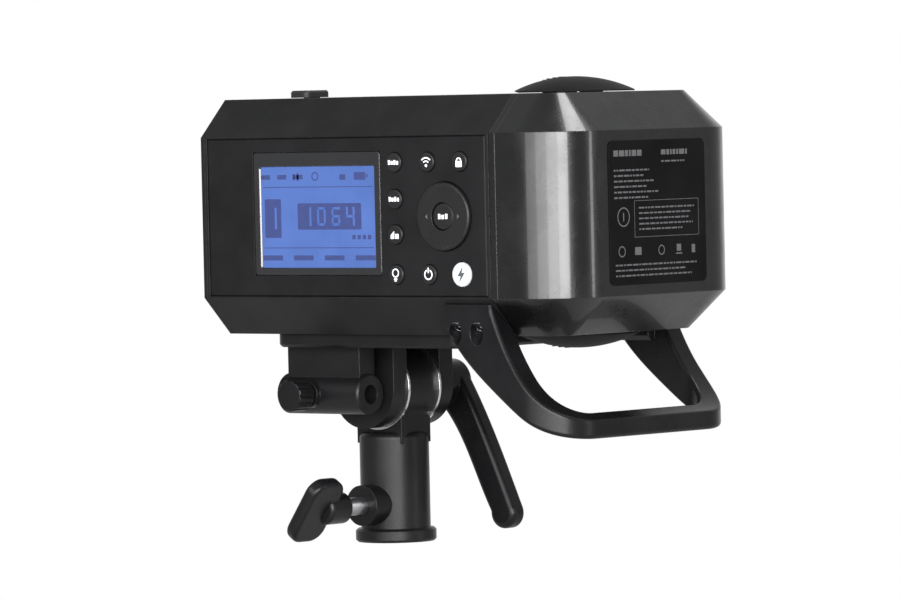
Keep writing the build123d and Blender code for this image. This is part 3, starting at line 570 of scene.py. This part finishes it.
def display():
    at = centre("display_window")
    front = high("display_window").x
    width, height = (high("display_window") - low("display_window")).yz / MM
    centre_z = at.z - DISPLAY_DROP * MM
    display_border(side_place(front, at.y, centre_z), width, height)
    bm = bmesh.new()
    sheet = scaled([rect(0, 0, DISPLAY_W + 1, DISPLAY_H + 1)])[0]
    prism(bm, sheet, BACKLIGHT_T * MM, side_place(front - BACKLIGHT_DEPTH * MM, at.y, centre_z))
    from_bmesh("display_backlight", bm, LCD, "head")
    sheet_x = front - SEGMENT_DEPTH * MM
    marks("display_segments", scaled(status_marks()), side_place(sheet_x, at.y, centre_z), LCD_DARK,
          "head", THIN_PRINT_T)
    bright = seven_segment("1", -26.5, -0.5, 4.4, 9.5, 1.2)
    for i, digit in enumerate("1064"):
        bright += seven_segment(digit, -6.5 + 8.4 * i, 0.3, 5.0, 8.2, 1.1)
    numbers_x = sheet_x + THIN_PRINT_T + PRINT_LIFT
    marks("display_numbers", scaled(bright), side_place(numbers_x, at.y, centre_z), LCD,
          "head", THIN_PRINT_T)


# ---- rear label and other print ----------------------------------------------------------------
def text_line(left, y, length, height, seed):
    """A row of dashes of uneven length, which stands for a line of small print."""
    outlines, x, k = [], left, seed
    while x < left + length:
        k = (k * 73 + 41) % 97
        w = min(1.2 + k % 5 * 0.62, left + length - x)
        if w > 0.4:
            outlines.append(rect(x + w / 2, y, w, height))
        x += w + 0.65
    return outlines


def paragraph(left, top, pitch, height, lengths, seed):
    lines = []
    for i, length in enumerate(lengths):
        lines += text_line(left, top - pitch * i, length, height, i + seed)
    return lines


LABEL_LEFT = -29.5


def rear_label():
    """Two headings, three paragraphs, a framed note with a ring sign, and a row of plain icons."""
    at = centre("rating_label")
    place = rear_place(at.x, high("rating_label").y + PRINT_LIFT, at.z)
    shapes = text_line(LABEL_LEFT, 25.5, 20, 2.6, 5) + text_line(3.0, 25.5, 18, 2.2, 8)
    shapes += text_line(3.0, 21.6, 16, 0.7, 3)
    shapes += paragraph(LABEL_LEFT, 18.2, 2.35, 0.75, (24, 20, 27, 22, 30, 23), 2)
    shapes += paragraph(-13, 1.9, 2.3, 0.7, (38, 36, 34, 37, 30), 9)
    shapes += paragraph(LABEL_LEFT, -22.4, 2.3, 0.7, (56, 48, 52), 17)
    shapes += [rect(6, y, 44, 0.22) for y in (5.0, -10.6)] + [rect(x, -2.8, 0.22, 15.6) for x in (-16, 28)]
    shapes += band(-25, -16.6, 2.4, 0.5) + [rect(-14, -16.6, 4.4, 3.4, 0.3)] + band(2, -16.6, 2.2, 0.5)
    shapes += [rect(14, -15.9, 3.0, 3.0, 0.3), rect(14, -18.4, 4.2, 0.6), rect(24, -16.6, 2.4, 3.6, 0.4)]
    shapes += band(-23.5, -1.8, 4.2, 0.55, 0, 360, 24) + [rect(-23.5, -1.8, 0.7, 3.6)]
    marks("label_lines", scaled(shapes), place, LABEL_INK, "battery", THIN_PRINT_T)


def gauge_marks():
    """A dash and a battery sign beside the charge lights."""
    at = centre("gauge_lights")
    face = low("battery_case").x - PRINT_LIFT
    shapes = [rect(0, 21.3, 3.4, 0.3), rect(5, 11.5, 4.2, 2.2, 0.3), rect(7.6, 11.5, 0.6, 1.0)]
    marks("gauge_print", scaled(shapes), far_side_place(face, at.y, at.z), LABEL_INK,
          "battery")


PORT_PRINT_SINK = 0.9 * MM


def port_marks():
    """Short dashes above the port flap, just off the casing; the flap's pull ridge stands 1 mm out."""
    at = centre("port_cover")
    face = low("port_cover").x + PORT_PRINT_SINK - PRINT_LIFT
    shapes = [rect(-8, 10.6, 5, 0.7), rect(-8, 12.0, 3, 0.6), rect(7, 10.6, 6, 0.7), rect(7, 12.0, 4, 0.6)]
    marks("port_print", scaled(shapes), far_side_place(face, at.y, at.z), LABEL_INK, "head")


# ---- flash tube, wire and lamp --------------------------------------------------------------------
def curve_piece(name, points, radius, material, body):
    curve = bpy.data.curves.new(name, "CURVE")
    curve.dimensions = "3D"
    curve.bevel_depth = radius
    curve.bevel_resolution = 5
    curve.use_fill_caps = True
    curve.resolution_u = 8
    spline = curve.splines.new("NURBS")
    spline.points.add(len(points) - 1)
    for point, place in zip(spline.points, points):
        point.co = (*place, 1)
    spline.order_u = 3
    spline.use_endpoint_u = True
    return add_piece(name, curve, material, body)


TUBE_R = 3.4 * MM
TUBE_GAP_DEG = 26
TUBE_LEG = 8.0 * MM
ELECTRODE_R, ELECTRODE_REACH = 1.2 * MM, 13.0 * MM
WIRE_R, WIRE_CLEAR = 0.22 * MM, 0.3 * MM
WIRE_GAP_DEG = TUBE_GAP_DEG + 6


def open_ring(gap_deg, count):
    """Angles round a ring that is open by gap_deg on each side of its lowest point."""
    return [math.radians(-90 + gap_deg + (360 - 2 * gap_deg) * k / (count - 1)) for k in range(count)]


def flash_tube():
    """The ring tube, bent from glass with electrodes in its legs, and the trigger wire wound on it."""
    axis = centre("glass_dome")
    tube_low, tube_high = low("flash_tube"), high("flash_tube")
    ring = (tube_high.x - tube_low.x) / 2 - TUBE_R
    y_ring = tube_low.y + TUBE_R
    y_foot = tube_high.y
    bend = [(ring * math.cos(a), y_ring, axis.z + ring * math.sin(a)) for a in open_ring(TUBE_GAP_DEG, 19)]
    (first_x, _, first_z), (last_x, _, last_z) = bend[0], bend[-1]
    path = [(first_x, y_foot, first_z), (first_x, y_foot - TUBE_LEG, first_z)] + bend
    path += [(last_x, y_foot - TUBE_LEG, last_z), (last_x, y_foot, last_z)]
    tube = curve_piece("flash_tube_glass", path, TUBE_R, MATERIALS["clear_glass"], "head")
    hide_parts("flash_tube")
    for end, x, z in (("a", first_x, first_z), ("b", last_x, last_z)):
        rod = [(x, y_foot - reach, z) for reach in (0.0, 7.0 * MM, ELECTRODE_REACH)]
        curve_piece(f"electrode_{end}", rod, ELECTRODE_R, MATERIALS["steel"], "head")
    wire = []
    for k, a in enumerate(open_ring(WIRE_GAP_DEG, 60)):
        wind = math.radians(150 * k)
        reach = ring + (TUBE_R + WIRE_CLEAR) * math.cos(wind)
        y = y_ring + (TUBE_R + WIRE_CLEAR) * math.sin(wind)
        wire.append((reach * math.cos(a), y, axis.z + reach * math.sin(a)))
    curve_piece("trigger_wire", wire, WIRE_R, MATERIALS["washer_steel"], "head")


VENT_COUNT = 12
VENT_RING_R = 9.5 * MM
VENT_W, VENT_T = 1.3, 0.4 * MM


def socket_vents():
    """A ring of small vents in the tube socket's face, round the modelling lamp."""
    at = centre("modelling_led")
    face_y = low("tube_socket").y
    vent = scaled([rect(0, 0, VENT_W, VENT_W, 0.2)])[0]
    bm = bmesh.new()
    for k in range(VENT_COUNT):
        a = 2 * math.pi * k / VENT_COUNT
        x, z = at.x + VENT_RING_R * math.cos(a), at.z + VENT_RING_R * math.sin(a)
        place = Matrix.Translation((x, face_y, z)) @ Matrix.Rotation(math.radians(90), 4, "X")
        prism(bm, vent, VENT_T, place)
    from_bmesh("socket_vents", bm, MATERIALS["inner_plastic"], "head")


# ---- small hardware --------------------------------------------------------------------------------
def hex_point(angle, r):
    """The point of a regular hexagon's outline at an angle."""
    sector = math.radians(60)
    local = (angle % sector) - sector / 2
    reach = r * math.cos(sector / 2) / math.cos(local)
    return (reach * math.cos(angle), reach * math.sin(angle))


HUB_SCREW_R = 4.8
HUB_SCREW_STEPS = 32


def lever_screw():
    """The hexagon-socket screw in the lever's hub."""
    at = centre("lever_insert")
    outer = disc(0, 0, HUB_SCREW_R, HUB_SCREW_STEPS)
    chamfered = disc(0, 0, HUB_SCREW_R - 0.5, HUB_SCREW_STEPS)
    hexagon = [hex_point(2 * math.pi * k / HUB_SCREW_STEPS, 2.2) for k in range(HUB_SCREW_STEPS)]
    place = far_side_place(low("tilt_lever").x + 0.6 * MM, at.y, at.z)
    depths = ((outer, 0.0), (outer, 0.5), (chamfered, 0.8), (hexagon, 0.8), (hexagon, 0.1))
    bm = bmesh.new()
    loops = [[bm.verts.new(place @ Vector((x * MM, y * MM, z * MM))) for x, y in loop] for loop, z in depths]
    join_loops(bm, loops)
    bm.faces.new(loops[-1])
    bm.faces.new(reversed(loops[0]))
    from_bmesh("lever_hub_screw", bm, MATERIALS["steel"], "lever")


THREAD_PITCH = 1.25 * MM
THREAD_R, THREAD_WIRE_R = 3.85 * MM, 0.36 * MM
THREAD_START_X, THREAD_END_X = 26.4 * MM, 36.6 * MM
THREAD_STEPS_A_TURN = 10


def screw_thread():
    """A helical thread on the clamp screw, kept clear of the stand block at the knob's full travel."""
    at = centre("socket_screw")
    length = THREAD_END_X - THREAD_START_X
    turns = length / THREAD_PITCH
    count = int(turns * THREAD_STEPS_A_TURN)
    points = []
    for k in range(count + 1):
        a = 2 * math.pi * turns * k / count
        x = THREAD_START_X + length * k / count
        points.append((x, at.y + THREAD_R * math.cos(a), at.z + THREAD_R * math.sin(a)))
    curve_piece("socket_screw_thread", points, THREAD_WIRE_R, MATERIALS["steel"], "socket_knob")


LATCH_RIB_COUNT = 5
LATCH_RIB_PITCH = 2.8 * MM
LATCH_RIB_START = 15.5 * MM
LATCH_RIB_T = 0.5 * MM
LATCH_DOME_R = 60.0 * MM


def latch_ribs():
    """Grip ribs across each latch cap's front half, following its dome."""
    for node, body, up in (("top_latch", "upper_latch", True), ("bottom_latch", "lower_latch", False)):
        at = centre(node)
        bm = bmesh.new()
        for k in range(LATCH_RIB_COUNT):
            y = at.y - LATCH_RIB_START + LATCH_RIB_PITCH * k
            drop = LATCH_DOME_R - math.sqrt(LATCH_DOME_R ** 2 - (y - at.y) ** 2)
            z = high(node).z - drop - 0.4 * MM if up else low(node).z + drop - 0.1 * MM
            rib = scaled([rect(0, 0, 1.0, 15.0 - abs(k - 2) * 1.5, 0.45)])[0]
            prism(bm, rib, LATCH_RIB_T, top_place(at.x, y, z))
        from_bmesh(f"{node}_ribs", bm, MATERIALS["latch_black"], body)


key_symbols()
dial_details()
display()
rear_label()
gauge_marks()
port_marks()
flash_tube()
socket_vents()
lever_screw()
screw_thread()
latch_ribs()


# ---- floor, light and camera -------------------------------------------------------------------------
FLOOR_Z = -0.12
FLOOR_R = 1.1
FLOOR_T = 0.01


def floor():
    bm = bmesh.new()
    prism(bm, disc(0, 0, FLOOR_R, 96), FLOOR_T, Matrix.Translation((0, 0, FLOOR_Z - FLOOR_T)))
    mesh = bpy.data.meshes.new("studio_floor")
    bm.to_mesh(mesh)
    bm.free()
    piece = bpy.data.objects.new("studio_floor", mesh)
    bpy.context.scene.collection.objects.link(piece)
    t = Tree("pale_floor")
    t.base(t.ramp(t.noise(1.5, 4.0), [(0.3, (0.50, 0.50, 0.50)), (0.7, (0.53, 0.53, 0.53))]))
    t.set(Roughness=0.8, Specular_IOR_Level=0.1)
    piece.data.materials.append(t.material)


LIT_POINT = Vector((0.0, 0.04, 0.13))


def area(name, bearing, distance, height, size_x, size_y, power):
    """A softbox facing the head, at a bearing in degrees from +X towards +Y."""
    turn = math.radians(bearing)
    place = Vector((distance * math.cos(turn), distance * math.sin(turn), height))
    light = bpy.data.lights.new(name, "AREA")
    light.shape = "RECTANGLE"
    light.size = size_x
    light.size_y = size_y
    light.energy = power
    lamp = bpy.data.objects.new(name, light)
    bpy.context.scene.collection.objects.link(lamp)
    lamp.location = place
    lamp.rotation_euler = (LIT_POINT - place).to_track_quat("-Z", "Y").to_euler()
    lamp.visible_camera = False


# (bearing, power) of a row of equal softboxes, each dimmer than the last
SIDE_ROW = ((56, 100), (36, 74), (16, 46), (-4, 24))
# the direction in which the room is white; it is grey in the others
WHITE_WAY = (-0.76, -0.65, 0.0)
ROOM_GREY = (0.42, 0.425, 0.43, 1)
ROOM_WHITE = (1.0, 1.0, 1.0, 1)


def room():
    world = bpy.data.worlds.new("studio")
    world.use_nodes = True
    tree = world.node_tree
    background = tree.nodes["Background"]
    background.inputs["Strength"].default_value = 1.0
    place = tree.nodes.new("ShaderNodeTexCoord")
    facing = tree.nodes.new("ShaderNodeVectorMath")
    facing.operation = "DOT_PRODUCT"
    facing.inputs[1].default_value = WHITE_WAY
    tone = tree.nodes.new("ShaderNodeValToRGB")
    tone.color_ramp.interpolation = "EASE"
    grey_stop, white_stop = tone.color_ramp.elements
    grey_stop.position, grey_stop.color = 0.62, ROOM_GREY
    white_stop.position, white_stop.color = 0.92, ROOM_WHITE
    tree.links.new(place.outputs["Generated"], facing.inputs[0])
    tree.links.new(facing.outputs["Value"], tone.inputs["Fac"])
    tree.links.new(tone.outputs["Color"], background.inputs["Color"])
    bpy.context.scene.world = world
    bpy.context.scene.view_settings.view_transform = "Standard"


def lights():
    """Soft lights beside, behind and over the head; the side row shades the battery's rounded corner."""
    for i, (bearing, power) in enumerate(SIDE_ROW):
        area(f"side_row_{i}", bearing, 3.2, 0.6, 1.13, 1.6, power)
    area("rear_strip", 112, 2.6, 0.5, 0.28, 1.3, 9)
    area("overhead", 152, 0.95, 2.45, 0.9, 0.9, 28)
    area("panel_fill", -20, 3.0, 1.5, 1.2, 1.4, 22)


CAMERA_AZIMUTH, CAMERA_ELEVATION, CAMERA_ROLL = (math.radians(a) for a in (130.5, 1.8, -1.3))
CAMERA_DISTANCE = 3.0
CAMERA_AIM = Vector((0.004, 0.038, 0.1076))


def camera():
    """Behind and to the right of the head, looking past the control panel, a little from above."""
    ahead = Vector((
        -math.sin(CAMERA_AZIMUTH) * math.cos(CAMERA_ELEVATION),
        math.cos(CAMERA_AZIMUTH) * math.cos(CAMERA_ELEVATION),
        -math.sin(CAMERA_ELEVATION),
    ))
    lens = bpy.data.cameras.new("camera")
    lens.lens = 272
    lens.sensor_width = 36
    eye = bpy.data.objects.new("camera", lens)
    bpy.context.scene.collection.objects.link(eye)
    eye.location = CAMERA_AIM - ahead * CAMERA_DISTANCE
    turn = ahead.to_track_quat("-Z", "Y").to_matrix() @ Matrix.Rotation(CAMERA_ROLL, 3, "Z")
    eye.rotation_euler = turn.to_euler()
    bpy.context.scene.camera = eye


floor()
room()
lights()
camera()
